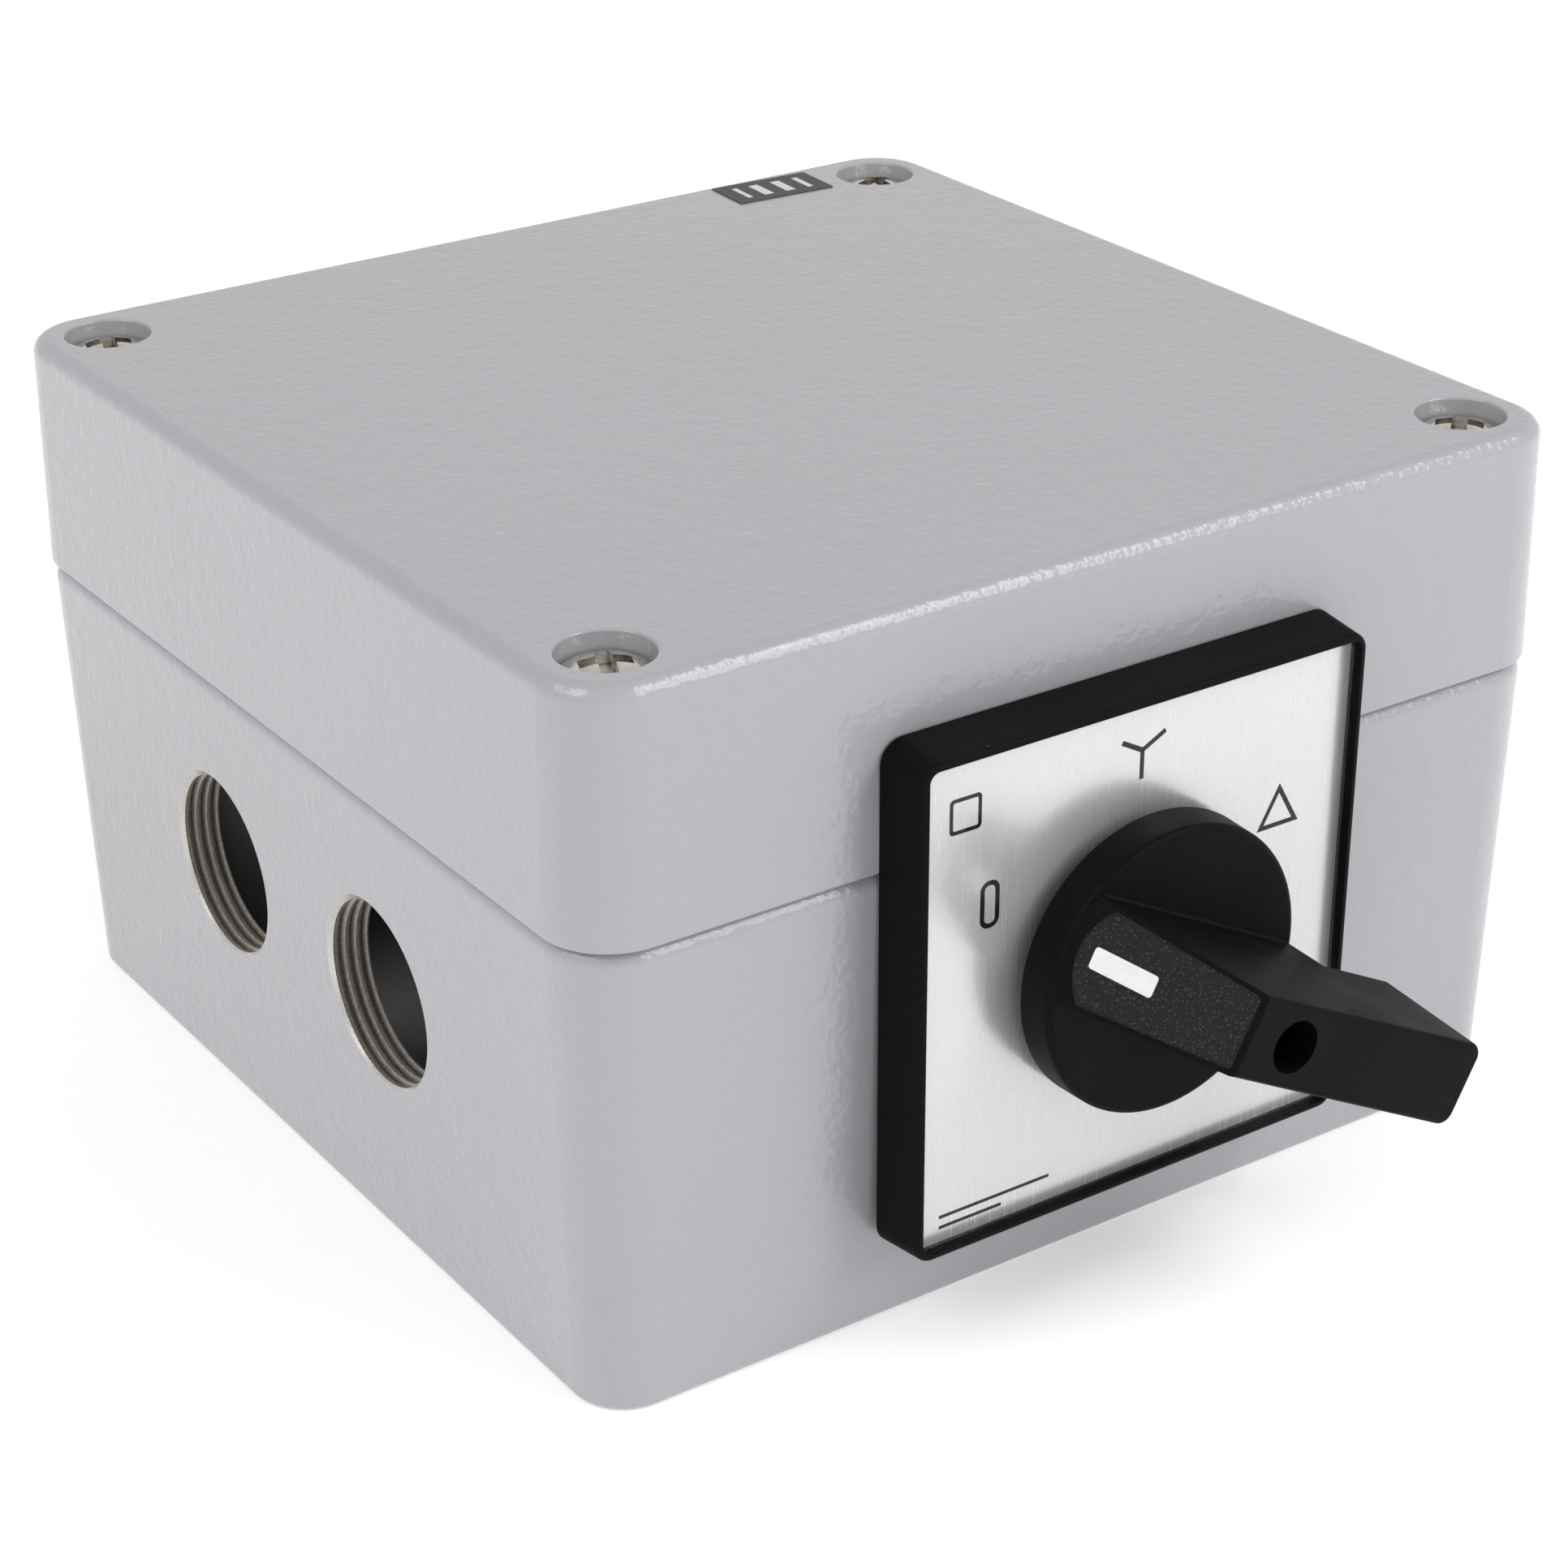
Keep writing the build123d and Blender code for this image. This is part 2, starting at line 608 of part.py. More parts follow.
def make_detent_springs():
    y = (DETENT_Y + STOP_Y) / 2 + 1
    low = ROLLER_RHO + ROLLER_R + 0.1
    return Compound(children=[coil(0, y, low, 20.6, side, 1.7, 0.35) for side in (-1, 1)])


def sector(radius, start, end):
    """Pie slice from start to end, in degrees."""
    steps = 6
    reach = radius * 1.3
    points = [(0, 0)]
    for step in range(steps + 1):
        angle = radians(start + (end - start) * step / steps)
        points.append((reach * cos(angle), reach * sin(angle)))
    return Polygon(*points, align=None) & Circle(radius)


def make_stop_ring():
    """Layer whose window lets the stop arm swing through the switch's travel."""
    window = sector(BORE_R, 90 - SWITCH_TRAVEL / 2 - 13, 90 + SWITCH_TRAVEL / 2 + 13)
    return layer(block_sketch() - Circle(7.2) - window, STOP_Y, CHAMBER_Y)


def make_stop_arm():
    """Hub with one lug, at the off end of its window when the switch is off."""
    rest = 90 + SWITCH_TRAVEL / 2
    arm = Circle(6.8) + sector(BORE_R - 0.4, rest - 12, rest + 12)
    return layer(arm - square_hole(), STOP_Y + 0.2, CHAMBER_Y - 0.2)


def chamber_front(index):
    return CHAMBER_Y + index * CHAMBER_PITCH


def make_chamber_housing(index):
    """Insulating block: cam bore, a contact pocket above and below, four terminal notches."""
    y0 = chamber_front(index)
    y1 = y0 + CHAMBER_PITCH
    block = layer(block_sketch() - Circle(BORE_R), y0, y1)
    for side in (-1, 1):
        mid = (SPRING_END_RHO + STRIP_RHO) / 2
        pocket = Pos(0, side * mid) * Rectangle(2 * POCKET_X, SPRING_END_RHO - STRIP_RHO)
        block -= layer(pocket, y0 + 3, y1 + 1)
        for hand in (-1, 1):
            notch_x = (NOTCH_X + BLOCK / 2 + 1) / 2
            notch = Pos(hand * notch_x, side * mid)
            notch *= Rectangle(BLOCK / 2 + 1 - NOTCH_X, SPRING_END_RHO - STRIP_RHO)
            block -= layer(notch, y0 + 3, y1 + 1)
            slot = Pos(hand * (NOTCH_X + POCKET_X) / 2, side * (STRIP_RHO + STRIP_THICK / 2))
            block -= layer(slot * Rectangle(2, STRIP_THICK + 0.1), y0 + 3, y1 + 1)
    return block


def cam_radius(kind, turned):
    """Cam height under a contact when the switch has turned by this many degrees."""
    drop = CAM_OPEN_R - CAM_CLOSED_R
    half = SWITCH_TRAVEL / 2
    if kind == "line":
        closed = min(turned / half, 1)
    elif kind == "star":
        closed = 1 - abs(turned - half) / half
    else:
        closed = turned / SWITCH_TRAVEL
    return CAM_OPEN_R - drop * closed


def cam_points(kind):
    """Outline of the half cam that serves one contact, from its off position onwards."""
    points = []
    for turned in range(-16, int(SWITCH_TRAVEL) + 17, 4):
        held = min(max(turned, 0), SWITCH_TRAVEL)
        points.append((turned, cam_radius(kind, held)))
    return points


def make_cam(index):
    kinds = {side: kind for name, chamber, side, kind in CONTACTS if chamber == index}
    outline = []
    for side, start in ((1, 90), (-1, 270)):
        for turned, radius in cam_points(kinds[side]):
            angle = radians(start + turned)
            outline.append((radius * cos(angle), radius * sin(angle)))
    cam = Polygon(*outline, align=None) - square_hole()
    y0 = chamber_front(index)
    return layer(cam, y0 + 3.2, y0 + 10.8)


def make_plunger(index, side):
    """Slider between cam and bridge: narrow rounded nose, wide body, spring pin."""
    y = chamber_front(index) + CONTACT_MID
    nose_r = 1.5
    nose = Pos(0, side * (NOSE_RHO + nose_r)) * Circle(nose_r)
    nose += Pos(0, side * (NOSE_RHO + nose_r + SHOULDER_RHO) / 2) * Rectangle(
        2 * nose_r, SHOULDER_RHO - NOSE_RHO - nose_r
    )
    body = Pos(0, side * (SHOULDER_RHO + BRIDGE_RHO) / 2) * Rectangle(8, BRIDGE_RHO - SHOULDER_RHO)
    pin = Pos(0, side * (BRIDGE_RHO + 1.6)) * Rectangle(2, 3.2)
    slider = layer(nose + body, y - 3, y + 3)
    return slider + layer(pin, y - 1, y + 1)


def make_bridge(index, side):
    """Moving contact bar with a button at each end."""
    y = chamber_front(index) + CONTACT_MID
    middle = Pos(0, side * (BRIDGE_RHO + BRIDGE_THICK / 2))
    bar = layer(middle * Rectangle(31, BRIDGE_THICK), y - 3, y + 3)
    bar -= layer(middle * Rectangle(2.1, 3), y - 1.05, y + 1.05)
    for hand in (-1, 1):
        bar += contact_button(hand, y, side, BRIDGE_RHO - BUTTON_THICK, BRIDGE_RHO)
    return bar


def contact_button(hand, y, side, rho_low, rho_high):
    z = AXIS_Z + side * (rho_low + rho_high) / 2
    return Pos(hand * BUTTON_X, y, z) * Cylinder(BUTTON_R, rho_high - rho_low)


def make_contact_springs(wanted):
    springs = []
    low = BRIDGE_RHO + BRIDGE_THICK + 0.05
    for name, index, side, kind in CONTACTS:
        if name in wanted:
            y = chamber_front(index) + CONTACT_MID
            springs.append(coil(0, y, low, SPRING_END_RHO - 0.05, side, 2.1, 0.35))
    return Compound(children=springs)


def fixed_contact(index, side, hand):
    """Copper strip with a contact button inside and a screw hole at its outer end."""
    y = chamber_front(index) + CONTACT_MID
    length = BLOCK / 2 - 9.6
    strip = Pos(hand * (9.6 + length / 2), side * (STRIP_RHO + STRIP_THICK / 2))
    bar = layer(strip * Rectangle(length, STRIP_THICK), y - 3, y + 3)
    closed_gap = 0.05
    lift = BRIDGE_RHO - BUTTON_THICK - (CAM_OPEN_R - CAM_CLOSED_R) - closed_gap
    bar += contact_button(hand, y, side, STRIP_RHO + STRIP_THICK, lift)
    hole_z = AXIS_Z + side * STRIP_RHO
    return bar - Pos(hand * 20.2, y, hole_z) * Cylinder(1.35, 6)


def make_fixed_contacts():
    strips = []
    for name, index, side, kind in CONTACTS:
        for hand in (-1, 1):
            strips.append(fixed_contact(index, side, hand).solid())
    return Compound(children=strips)


def make_terminal_screws():
    screws = []
    top = STRIP_RHO + STRIP_THICK
    for name, index, side, kind in CONTACTS:
        y = chamber_front(index) + CONTACT_MID
        for hand in (-1, 1):
            head = Pos(0, 0, top + 1.0) * Cylinder(2.3, 2.0)
            head -= Pos(0, 0, top + 2.0) * Box(0.8, 6, 1.6)
            screw = head + Pos(0, 0, top - 0.5) * Cylinder(1.3, 1.0)
            flip = Rot(0, 0 if side > 0 else 180, 0)
            screws.append((Pos(hand * 20.2, y, AXIS_Z) * flip * screw).solid())
    return Compound(children=screws)


def make_jumper_links():
    """Three links along the switch's side that join neighbouring terminals."""
    links = []
    for index, side in ((0, 1), (1, -1), (2, 1)):
        y_front = chamber_front(index) + CONTACT_MID - 2
        rho = side * (STRIP_RHO + 1.7)
        outline = Pos(BLOCK / 2 + 0.4, rho) * Rectangle(0.8, 3.4)
        links.append(layer(outline, y_front, y_front + CHAMBER_PITCH + 4).solid())
    return Compound(children=links)


def make_rear_plate():
    plate = block_sketch() - Circle(3.05)
    return layer(plate, REAR_PLATE_Y, REAR_PLATE_Y + REAR_PLATE_THICK)


def make_tie_rods():
    rods = []
    end_y = REAR_PLATE_Y + REAR_PLATE_THICK + 4
    for side in (-1, 1):
        rods.append(layer(Pos(side * ROD_X, 0) * Circle(ROD_R), FRONT_PLATE_Y, end_y).solid())
    return Compound(children=rods)


def make_tie_nuts():
    nuts = []
    y = REAR_PLATE_Y + REAR_PLATE_THICK
    for side in (-1, 1):
        nut = RegularPolygon(3.2, 6, major_radius=False) - Circle(ROD_R + 0.02)
        nuts.append(layer(Pos(side * ROD_X, 0) * nut, y, y + 2.8).solid())
    return Compound(children=nuts)


# ---------------------------------------------------------------- write the parts


def save(name, shape):
    export_step(shape, f"parts/{name}.step")


def main():
    os.makedirs("parts", exist_ok=True)
    save("enclosure_base", make_enclosure_base())
    save("enclosure_lid", make_enclosure_lid())
    save("lid_gasket", make_lid_gasket())
    save("lid_screws", make_lid_screws())
    save("rating_plate", make_rating_plate())
    save("earth_clamp", make_earth_clamp())
    save("earth_screw", make_earth_screw())
    save("bezel_frame", make_bezel_frame())
    save("bezel_seal", make_bezel_seal())
    save("legend_plate", make_legend_plate())
    save("legend_marks", make_legend_marks())
    save("legend_window", make_legend_window())
    save("mounting_nut", make_mounting_nut())
    save("handle", make_handle())
    save("pointer_insert", make_pointer_insert())
    save("pointer_mark", make_pointer_mark())
    save("handle_screw", make_handle_screw())
    save("shaft", make_shaft())
    save("shaft_seal", make_shaft_seal())
    save("switch_front_plate", make_switch_front_plate())
    save("detent_housing", make_detent_housing())
    save("detent_star", make_detent_star())
    save("detent_rollers", make_detent_rollers())
    save("detent_springs", make_detent_springs())
    save("stop_ring", make_stop_ring())
    save("stop_arm", make_stop_arm())
    for index in range(CHAMBERS):
        save(f"chamber_housing_{index + 1}", make_chamber_housing(index))
        save(f"cam_{index + 1}", make_cam(index))
    for name, index, side, kind in CONTACTS:
        save(f"plunger_{name}", make_plunger(index, side))
        save(f"bridge_{name}", make_bridge(index, side))
    save("upper_springs", make_contact_springs(("line_1", "line_3", "delta_2")))
    save("lower_springs", make_contact_springs(("line_2", "delta_1", "delta_3")))
    save("star_springs", make_contact_springs(("star_1", "star_2")))
    save("fixed_contacts", make_fixed_contacts())
    save("terminal_screws", make_terminal_screws())
    save("jumper_links", make_jumper_links())
    save("rear_plate", make_rear_plate())
    save("tie_rods", make_tie_rods())
    save("tie_nuts", make_tie_nuts())


main()
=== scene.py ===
import json
from math import radians

import bmesh
import bpy
from mathutils import Matrix, Vector


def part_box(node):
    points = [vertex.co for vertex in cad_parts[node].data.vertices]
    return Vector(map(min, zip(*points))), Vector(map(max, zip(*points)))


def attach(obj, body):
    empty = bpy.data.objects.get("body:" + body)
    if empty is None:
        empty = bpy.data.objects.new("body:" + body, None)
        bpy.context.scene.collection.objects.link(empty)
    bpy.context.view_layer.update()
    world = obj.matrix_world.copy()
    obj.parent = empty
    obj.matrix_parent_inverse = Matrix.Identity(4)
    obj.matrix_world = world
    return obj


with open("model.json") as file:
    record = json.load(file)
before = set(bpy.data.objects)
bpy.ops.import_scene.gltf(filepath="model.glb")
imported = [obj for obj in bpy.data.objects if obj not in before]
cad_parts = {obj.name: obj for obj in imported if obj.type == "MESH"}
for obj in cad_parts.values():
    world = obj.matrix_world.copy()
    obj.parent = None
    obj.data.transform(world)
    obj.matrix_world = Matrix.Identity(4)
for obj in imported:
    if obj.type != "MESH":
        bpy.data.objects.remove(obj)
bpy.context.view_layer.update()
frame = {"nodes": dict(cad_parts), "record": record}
NODES = frame["nodes"]

MM = 0.001

# Camera: where it stands, what it aims at, and its lens, in metres and millimetres.
CAMERA_AT = Vector((-0.2352, -0.3505, 0.2426))
CAMERA_AIM = Vector((-0.01048, -0.01951, 0.02969))
CAMERA_ROLL = -0.355
CAMERA_LENS = 81.85
CAMERA_SHIFT_Y = 0.0673

# Bars on the rating plate in millimetres: (place along the plate, width).
RATING_BARS = [(-5.0, 0.8), (-1.9, 1.5), (1.7, 1.5), (5.0, 0.9)]
RATING_BAR_HEIGHT = 4.8
PLATE_TURN = -3.0
PRINT_THICK = 0.06 * MM
PRINT_PROUD = 0.004 * MM

# Cable entries: how far beyond the stated thread radius the bare metal reaches, and where along X it lies.
THREAD_REACH = 0.85 * MM
CHAMFER_REACH = 1.3 * MM
THREAD_INNER_X = -0.063
CHAMFER_INNER_X = -0.0685

# Brightness of the surroundings, and the height in the sky above which it starts to fall.
HORIZON_HEIGHT = 0.05
HORIZON_LIGHT = 0.86
ZENITH_LIGHT = 0.53


# ---------------------------------------------------------------- materials


class Shader:
    """A small helper round one node material."""

    def __init__(self, name, color, metallic=0.0, roughness=0.5, **sockets):
        self.material = bpy.data.materials.new(name)
        self.material.use_nodes = True
        self.tree = self.material.node_tree
        self.bsdf = self.tree.nodes["Principled BSDF"]
        self.set("Base Color", (*color, 1.0))
        self.set("Metallic", metallic)
        self.set("Roughness", roughness)
        for socket, value in sockets.items():
            self.set(socket.replace("_", " "), value)
        self.coordinates = self.node("ShaderNodeTexCoord").outputs["Object"]

    def set(self, socket, value):
        self.bsdf.inputs[socket].default_value = value

    def node(self, kind, **settings):
        made = self.tree.nodes.new(kind)
        for key, value in settings.items():
            setattr(made, key, value)
        return made

    def link(self, source, target):
        self.tree.links.new(source, target)

    def noise(self, scale, detail=2.0, roughness=0.5, stretch=(1, 1, 1)):
        mapping = self.node("ShaderNodeMapping")
        mapping.inputs["Scale"].default_value = stretch
        self.link(self.coordinates, mapping.inputs["Vector"])
        texture = self.node("ShaderNodeTexNoise")
        texture.inputs["Scale"].default_value = scale
        texture.inputs["Detail"].default_value = detail
        texture.inputs["Roughness"].default_value = roughness
        self.link(mapping.outputs["Vector"], texture.inputs["Vector"])
        return texture.outputs["Fac"]

    def cells(self, scale, feature="F1"):
        texture = self.node("ShaderNodeTexVoronoi", feature=feature)
        texture.inputs["Scale"].default_value = scale
        self.link(self.coordinates, texture.inputs["Vector"])
        return texture.outputs["Distance"]

    def ramp(self, value, stops):
        """Maps a value through colour or grey stops: [(position, value or colour), ...]."""
        ramp = self.node("ShaderNodeValToRGB")
        elements = ramp.color_ramp.elements
        while len(elements) < len(stops):
            elements.new(0.5)
        for element, (position, level) in zip(elements, stops):
            element.position = position
            element.color = (*level, 1.0) if isinstance(level, tuple) else (level, level, level, 1.0)
        self.link(value, ramp.inputs["Fac"])
        return ramp.outputs["Color"]

    def mix(self, factor, first, second):
        """Mixes two colours; each is an output or a constant colour."""
        mix = self.node("ShaderNodeMix", data_type="RGBA")
        color_a, color_b, color_out = 6, 7, 2
        for socket, value in ((0, factor), (color_a, first), (color_b, second)):
            if isinstance(value, (int, float)):
                mix.inputs[socket].default_value = value
            elif isinstance(value, tuple):
                mix.inputs[socket].default_value = (*value, 1.0)
            else:
                self.link(value, mix.inputs[socket])
        return mix.outputs[color_out]

    def bump(self, layers, socket="Normal"):
        """Adds bump layers: [(height output, distance in metres, strength), ...]."""
        normal = None
        for height, distance, strength in layers:
            bump = self.node("ShaderNodeBump")
            bump.inputs["Distance"].default_value = distance
            bump.inputs["Strength"].default_value = strength
            self.link(height, bump.inputs["Height"])
            if normal is not None:
                self.link(normal, bump.inputs["Normal"])
            normal = bump.outputs["Normal"]
        self.link(normal, self.bsdf.inputs[socket])

    def color_from(self, output):
        self.link(output, self.bsdf.inputs["Base Color"])

    def roughness_from(self, value, low, high):
        self.link(self.ramp(value, [(0.3, low), (0.7, high)]), self.bsdf.inputs["Roughness"])

    def occlusion_shade(self, distance):
        """Painted shade mask from ambient occlusion: 1 in hollows narrower than the given distance in
        metres.
        """
        occlusion = self.node("ShaderNodeAmbientOcclusion")
        occlusion.inputs["Distance"].default_value = distance
        return self.ramp(occlusion.outputs["AO"], [(0.25, 1.0), (0.8, 0.0)])


def powder_coat():
    """Light grey powder coat: its base is nearly smooth, its gloss follows a dimpled skin."""
    shader = Shader("powder_coat_grey", (0.352, 0.348, 0.371), roughness=0.42, Coat_Weight=0.7)
    shader.set("Coat Roughness", 0.05)
    broad_shades = [(0.35, (0.345, 0.341, 0.364)), (0.65, (0.358, 0.354, 0.378))]
    color = shader.ramp(shader.noise(18, 3.0), broad_shades)
    mottle_shades = [(0.3, (0.336, 0.332, 0.355)), (0.7, (0.367, 0.363, 0.387))]
    mottle = shader.ramp(shader.noise(1300, 3.0), mottle_shades)
    color = shader.mix(0.4, color, mottle)
    specks = shader.ramp(shader.cells(90), [(0.012, 1.0), (0.022, 0.0)])
    shader.color_from(shader.mix(specks, color, (0.26, 0.26, 0.27)))
    swell = shader.noise(300, 1.0, 0.4)
    dimple = shader.noise(950, 1.5, 0.5)
    shader.bump([(swell, 0.00006, 1.0), (dimple, 0.00003, 1.0)])
    shader.bump([(swell, 0.00012, 1.0), (dimple, 0.00016, 1.0)], "Coat Normal")
    return shader.material


def bare_metal():
    """Machined bare casting in the thread, grey-brown and a little tarnished."""
    shader = Shader("bare_casting", (0.42, 0.385, 0.345), metallic=0.75, roughness=0.42)
    grain = shader.noise(3200, 3.0)
    base = shader.ramp(grain, [(0.3, (0.4, 0.355, 0.315)), (0.7, (0.6, 0.545, 0.495))])
    # Painted shade: the thread's roots and hollows are darkened by the ambient-occlusion mask.
    shader.color_from(shader.mix(shader.occlusion_shade(0.0009), base, (0.05, 0.04, 0.035)))
    shader.roughness_from(grain, 0.36, 0.5)
    shader.bump([(grain, 0.00002, 0.6)])
    return shader.material


def bright_metal():
    """Freshly cut chamfer at the mouth of a thread."""
    shader = Shader("cut_chamfer", (0.6, 0.58, 0.54), metallic=0.85, roughness=0.38)
    turned = shader.noise(3200, 2.0)
    shader.color_from(shader.ramp(turned, [(0.3, (0.5, 0.48, 0.45)), (0.7, (0.62, 0.6, 0.56))]))
    shader.roughness_from(turned, 0.28, 0.42)
    shader.bump([(turned, 0.00001, 0.5)])
    return shader.material


def black_plastic():
    """Matte black moulding with a fine spark-eroded texture and a little dust."""
    shader = Shader("black_moulding", (0.008, 0.008, 0.0088), roughness=0.5)
    shader.set("Specular IOR Level", 0.065)
    grain = shader.noise(5200, 2.0)
    shade = shader.ramp(grain, [(0.3, (0.0022, 0.0022, 0.0026)), (0.7, (0.0046, 0.0046, 0.0052))])
    dust = shader.ramp(shader.cells(210), [(0.012, 1.0), (0.022, 0.0)])
    shader.color_from(shader.mix(dust, shade, (0.22, 0.21, 0.2)))
    shader.roughness_from(shader.noise(90, 2.0), 0.46, 0.55)
    shader.bump([(grain, 0.00003, 0.55), (shader.noise(1700, 2.0), 0.00004, 0.3)])
    return shader.material


def textured_insert():
    """Rough speckled panel set into the handle's ramp."""
    shader = Shader("speckled_insert", (0.016, 0.0145, 0.0145), roughness=0.55)
    shader.set("Specular IOR Level", 0.2)
    speck = shader.noise(4300, 3.0, 0.6)
    base = shader.ramp(speck, [(0.35, (0.005, 0.0045, 0.0046)), (0.62, (0.016, 0.0138, 0.0135))])
    fleck = shader.ramp(shader.cells(2600), [(0.14, 1.0), (0.26, 0.0)])
    shader.color_from(shader.mix(fleck, base, (0.1, 0.07, 0.058)))
    shader.bump([(speck, 0.00009, 0.9)])
    return shader.material


def white_inlay():
    """White filling of the pointer mark."""
    shader = Shader("white_inlay", (0.82, 0.85, 0.88), roughness=0.35)
    shades = [(0.3, (0.76, 0.76, 0.785)), (0.7, (0.82, 0.82, 0.84))]
    shader.color_from(shader.ramp(shader.noise(700), shades))
    shader.bump([(shader.noise(2200), 0.00001, 0.5)])
    return shader.material


def brushed_plate():
    """Silver legend plate, brushed up and down."""
    shader = Shader("brushed_silver", (0.66, 0.66, 0.67), metallic=0.55, roughness=0.25)
    lines = shader.noise(220, 3.0, 0.6, stretch=(30, 1, 0.25))
    shader.color_from(shader.ramp(lines, [(0.3, (0.645, 0.65, 0.665)), (0.7, (0.675, 0.677, 0.687))]))
    shader.roughness_from(lines, 0.23, 0.28)
    return shader.material


def clear_window():
    """Clear polycarbonate: only its reflections show, stronger at a glancing angle."""
    shader = Shader("clear_cover", (1.0, 1.0, 1.0), metallic=1.0, roughness=0.03)
    facing = shader.node("ShaderNodeLayerWeight").outputs["Facing"]
    sheen = shader.ramp(facing, [(0.0, 0.012), (0.5, 0.02), (0.8, 0.2), (1.0, 0.9)])
    shader.link(sheen, shader.bsdf.inputs["Alpha"])
    shader.roughness_from(shader.noise(90), 0.02, 0.05)
    return shader.material


def ink():
    """Flat black printing ink on the legend plate."""
    shader = Shader("black_ink", (0.004, 0.004, 0.0045), roughness=0.6)
    shader.set("Specular IOR Level", 0.1)
    shade = shader.noise(1800)
    shader.color_from(shader.ramp(shade, [(0.3, (0.003, 0.003, 0.0035)), (0.7, (0.007, 0.007, 0.008))]))
    return shader.material


def label_foil():
    """Dark grey foil of the rating plate."""
    shader = Shader("label_foil", (0.03, 0.03, 0.034), roughness=0.5)
    shader.set("Specular IOR Level", 0.3)
    grain = shader.noise(2600)
    shader.color_from(shader.ramp(grain, [(0.3, (0.045, 0.044, 0.049)), (0.7, (0.06, 0.059, 0.065))]))
    shader.bump([(grain, 0.00001, 0.5)])
    return shader.material


def label_print():
    """Light print on the rating plate."""
    shader = Shader("label_print", (0.6, 0.61, 0.62), roughness=0.45)
    grain = shader.noise(2600)
    shader.color_from(shader.ramp(grain, [(0.3, (0.52, 0.53, 0.54)), (0.7, (0.66, 0.67, 0.68))]))
    return shader.material


def rubber():
    """Black seal rubber."""
    shader = Shader("black_rubber", (0.018, 0.018, 0.018), roughness=0.75)
    grain = shader.noise(1900, 3.0)
    shader.color_from(shader.ramp(grain, [(0.3, (0.013, 0.013, 0.013)), (0.7, (0.026, 0.026, 0.026))]))
    shader.bump([(grain, 0.00004, 0.6)])
    return shader.material


def plated_steel():
    """Nickel-plated steel: bright, a little uneven, with painted shade darkening its corners."""
    shader = Shader("nickel_plate", (0.72, 0.69, 0.64), metallic=1.0, roughness=0.2)
    grain = shader.noise(900, 3.0)
    base = shader.ramp(grain, [(0.3, (0.62, 0.59, 0.54)), (0.7, (0.8, 0.77, 0.72))])
    # Painted shade: corners and recesses are darkened by the ambient-occlusion mask.
    shader.color_from(shader.mix(shader.occlusion_shade(0.0006), base, (0.2, 0.18, 0.16)))
    shader.roughness_from(grain, 0.14, 0.28)
    shader.bump([(grain, 0.00002, 0.4)])
    return shader.material


def grey_plastic():
    """Dark grey thermoset of the switch's plates and housings."""
    shader = Shader("grey_thermoset", (0.1, 0.1, 0.105), roughness=0.5)
    grain = shader.noise(1400, 3.0)
    shader.color_from(shader.ramp(grain, [(0.3, (0.085, 0.085, 0.09)), (0.7, (0.125, 0.125, 0.13))]))
    shader.bump([(grain, 0.00004, 0.5)])
    return shader.material


def ivory_plastic():
    """Natural-coloured plastic of the cams, followers and detent wheel."""
    shader = Shader("natural_plastic", (0.72, 0.68, 0.57), roughness=0.35, Subsurface_Weight=0.1)
    grain = shader.noise(500, 3.0)
    shader.color_from(shader.ramp(grain, [(0.3, (0.66, 0.62, 0.51)), (0.7, (0.77, 0.73, 0.62))]))
    shader.bump([(grain, 0.00003, 0.4)])
    return shader.material


def brass():
    """Brass of the contact bars, strips and links."""
    shader = Shader("contact_brass", (0.78, 0.57, 0.26), metallic=1.0, roughness=0.25)
    grain = shader.noise(900, 3.0)
    shader.color_from(shader.ramp(grain, [(0.3, (0.66, 0.46, 0.2)), (0.7, (0.84, 0.63, 0.32))]))
    shader.roughness_from(grain, 0.2, 0.36)
    shader.bump([(grain, 0.00002, 0.4)])
    return shader.material


def floor_paper():
    """White studio paper, lit a little from within so that it stays white behind the object."""
    shader = Shader("studio_paper", (0.9, 0.9, 0.9), roughness=0.8)
    shader.set("Specular IOR Level", 0.0)
    shader.set("Emission Color", (1.0, 1.0, 1.0, 1.0))
    shader.set("Emission Strength", 0.3)
    grain = shader.noise(700, 2.0)
    shader.color_from(shader.ramp(grain, [(0.3, (0.89, 0.89, 0.89)), (0.7, (0.92, 0.92, 0.92))]))
    return shader.material


def dress_nodes():
    """Gives every CAD node the material of its slot in the record."""
    finishes = {
        "painted_case": powder_coat(),
        "black_plastic": black_plastic(),
        "textured_insert": textured_insert(),
        "white_mark": white_inlay(),
        "brushed_plate": brushed_plate(),
        "clear_window": clear_window(),
        "legend_ink": ink(),
        "rating_foil": label_foil(),
        "seal_rubber": rubber(),
        "plated_steel": plated_steel(),
        "grey_plastic": grey_plastic(),
        "ivory_plastic": ivory_plastic(),
        "contact_brass": brass(),
    }
    for part in frame["record"]["subparts"]:
        mesh = NODES[part["node"]].data
        mesh.materials.clear()
        mesh.materials.append(finishes[part["material_slot"]])


def bare_entries():
    """The cable entries are cut after painting: their threads and chamfers show bare metal."""
    mesh = NODES["enclosure_base"].data
    mesh.materials.append(bare_metal())
    mesh.materials.append(bright_metal())
    thread, chamfer = 1, 2
    mounts = [m for m in frame["record"]["mounts"] if m["kind"] == "threaded_hole"]
    for mount in mounts:
        _, y, z = mount["pos_m"]
        wall_r = mount["dims"]["r_mm"] * MM
        for face in mesh.polygons:
            center = face.center
            reach = ((center.y - y) ** 2 + (center.z - z) ** 2) ** 0.5
            if center.x > THREAD_INNER_X or reach > wall_r + CHAMFER_REACH:
                continue
            if reach < wall_r + THREAD_REACH:
                face.material_index = thread
            slanted = 0.3 < abs(face.normal.x) < 0.95
            if center.x < CHAMFER_INNER_X and slanted:
                face.material_index = chamfer


# ---------------------------------------------------------------- small added pieces


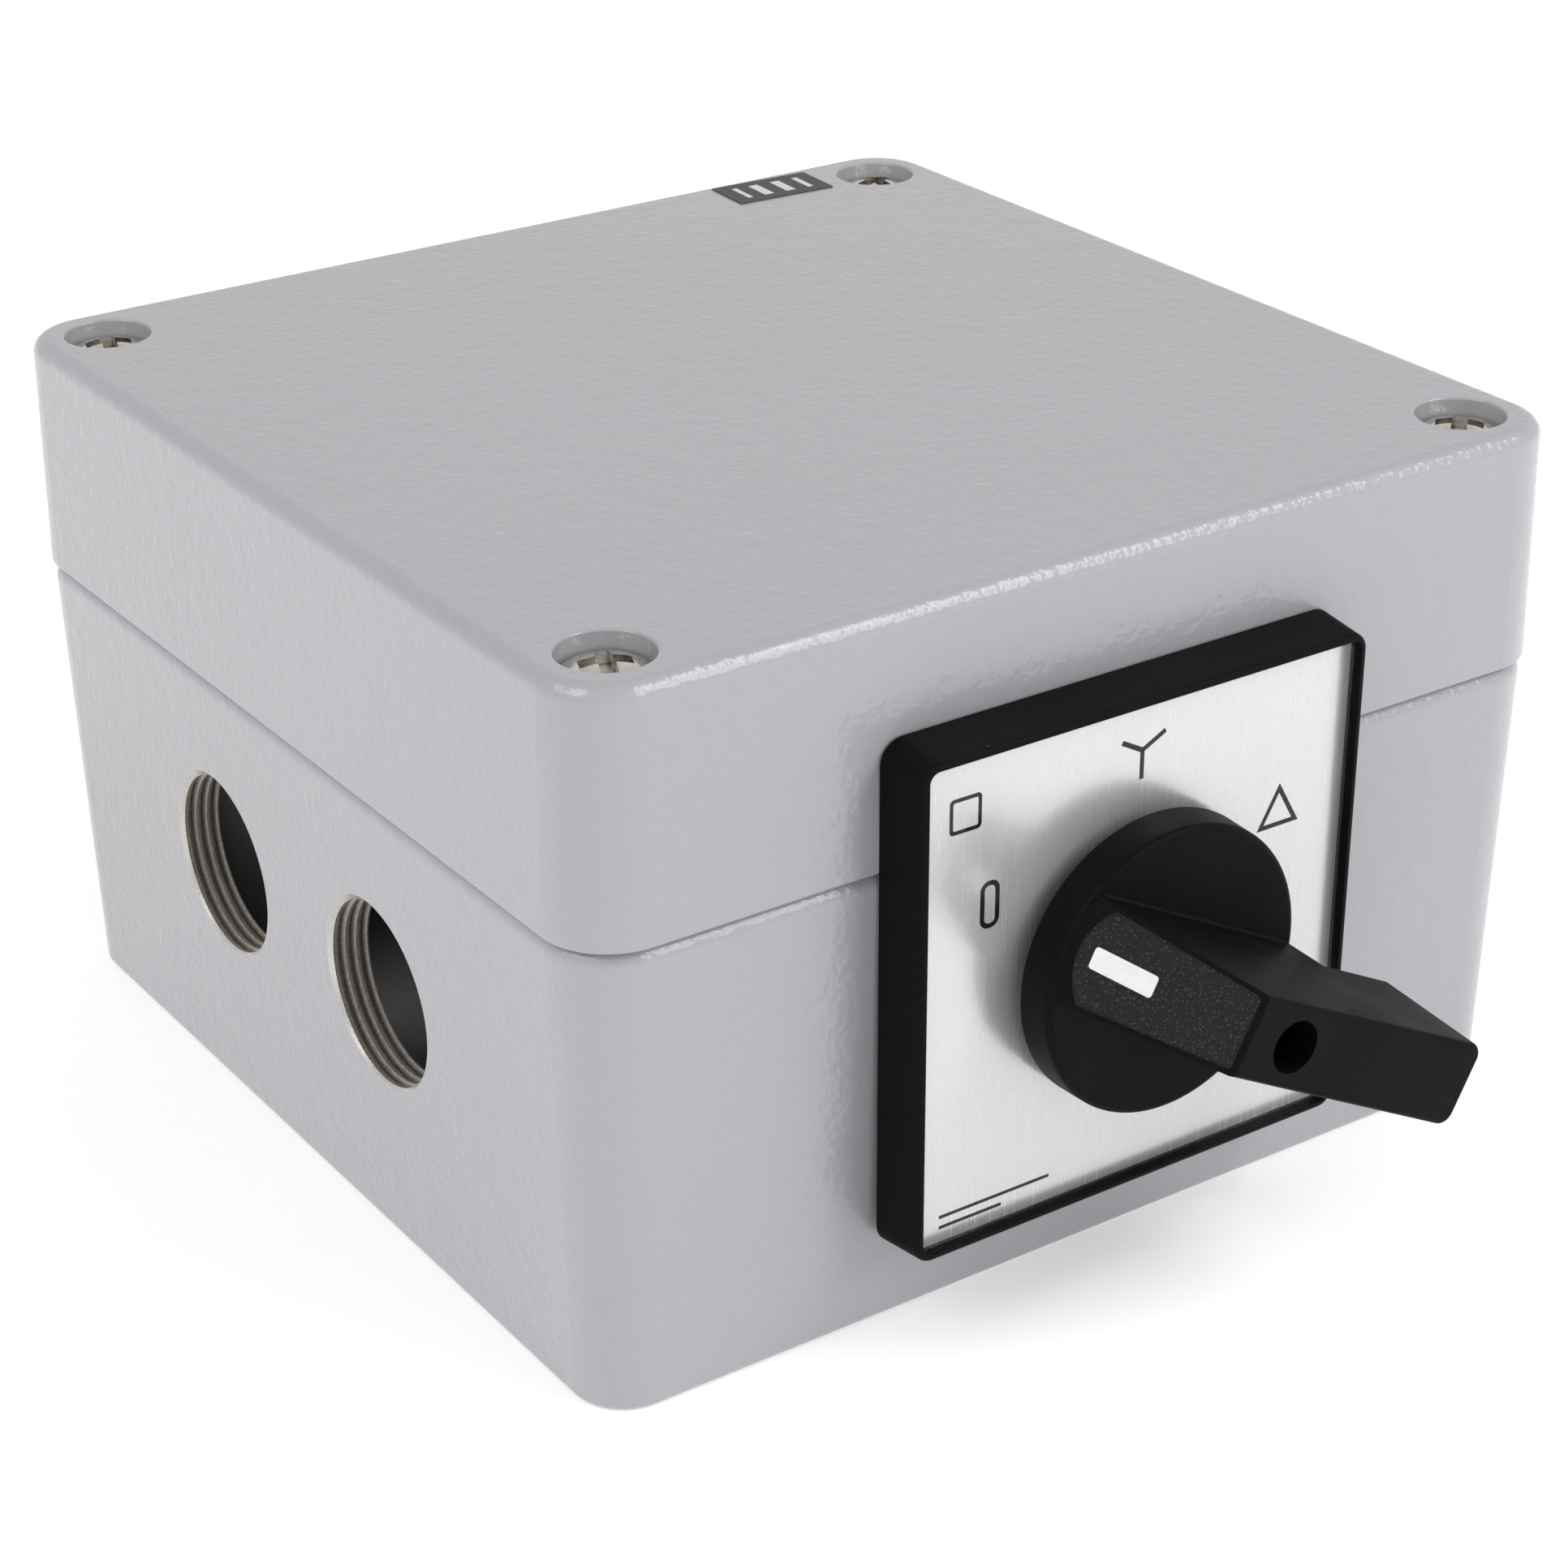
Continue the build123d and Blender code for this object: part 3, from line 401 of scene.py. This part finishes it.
def mesh_piece(name, bm, material, body):
    """Turns a bmesh into an object that rides a CAD body."""
    mesh = bpy.data.meshes.new(name)
    bm.to_mesh(mesh)
    bm.free()
    mesh.materials.append(material)
    piece = bpy.data.objects.new(name, mesh)
    bpy.context.scene.collection.objects.link(piece)
    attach(piece, body)
    return piece


def make_rating_marks(material):
    """Plain light bars printed on the rating plate."""
    low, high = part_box("rating_plate")
    middle = (low + high) / 2
    turn = Matrix.Rotation(radians(PLATE_TURN), 4, "Z")
    bm = bmesh.new()
    for along, width in RATING_BARS:
        bar = bmesh.ops.create_cube(bm, size=1.0)["verts"]
        bmesh.ops.scale(bm, vec=(width * MM, RATING_BAR_HEIGHT * MM, PRINT_THICK), verts=bar)
        bmesh.ops.translate(bm, vec=(along * MM, 0, 0), verts=bar)
        bmesh.ops.transform(bm, matrix=turn, verts=bar)
        height = high.z + PRINT_PROUD - PRINT_THICK / 2
        bmesh.ops.translate(bm, vec=(middle.x, middle.y, height), verts=bar)
    mesh_piece("rating_marks", bm, material, "lid")


# ---------------------------------------------------------------- stage, light and camera


def make_floor():
    """A wide sheet of paper under the object."""
    bpy.ops.mesh.primitive_grid_add(x_subdivisions=8, y_subdivisions=8, size=6.0)
    floor = bpy.context.object
    floor.name = "studio_floor"
    floor.data.materials.append(floor_paper())


def area_light(name, at, aim, size, power):
    """A rectangular soft box that faces its aim; places and sizes in metres, power in watts."""
    light = bpy.data.lights.new(name, "AREA")
    light.shape = "RECTANGLE"
    light.size, light.size_y = size
    light.energy = power
    holder = bpy.data.objects.new(name, light)
    holder.location = at
    holder.rotation_euler = (Vector(aim) - Vector(at)).to_track_quat("-Z", "Y").to_euler()
    bpy.context.scene.collection.objects.link(holder)


def make_world():
    """White surroundings, brighter near the horizon than overhead."""
    world = bpy.data.worlds.new("studio")
    world.use_nodes = True
    tree = world.node_tree
    direction = tree.nodes.new("ShaderNodeTexCoord")
    height = tree.nodes.new("ShaderNodeSeparateXYZ")
    level = tree.nodes.new("ShaderNodeMapRange")
    tree.links.new(direction.outputs["Generated"], height.inputs[0])
    tree.links.new(height.outputs["Z"], level.inputs["Value"])
    level.inputs["From Min"].default_value = HORIZON_HEIGHT
    level.inputs["From Max"].default_value = 1.0
    level.inputs["To Min"].default_value = HORIZON_LIGHT
    level.inputs["To Max"].default_value = ZENITH_LIGHT
    tree.nodes["Background"].inputs["Color"].default_value = (1.0, 1.0, 1.0, 1.0)
    tree.links.new(level.outputs["Result"], tree.nodes["Background"].inputs["Strength"])
    bpy.context.scene.world = world
    bpy.context.scene.view_settings.view_transform = "Standard"


def make_lights():
    """Soft boxes give the highlights: two in front at the right, one above at the left."""
    target = (0, -0.02, 0.06)
    area_light("front_box", (0.60, -0.62, 0.98), target, (0.42, 0.42), 3.2)
    area_light("front_fill", (0.50, -0.92, 0.62), target, (0.42, 0.6), 3.3)
    area_light("left_box", (-0.80, -0.06, 0.90), target, (0.6, 0.6), 4.0)


def make_camera():
    """A long lens above the object's near corner."""
    camera = bpy.data.cameras.new("camera")
    camera.lens = CAMERA_LENS
    camera.sensor_width = 36.0
    camera.shift_y = CAMERA_SHIFT_Y
    camera.clip_start = 0.01
    holder = bpy.data.objects.new("camera", camera)
    look = (CAMERA_AIM - CAMERA_AT).to_track_quat("-Z", "Y")
    roll = Matrix.Rotation(radians(CAMERA_ROLL), 4, "Z")
    holder.matrix_world = Matrix.Translation(CAMERA_AT) @ look.to_matrix().to_4x4() @ roll
    bpy.context.scene.collection.objects.link(holder)
    bpy.context.scene.camera = holder


dress_nodes()
bare_entries()
make_rating_marks(label_print())
make_floor()
make_world()
make_lights()
make_camera()
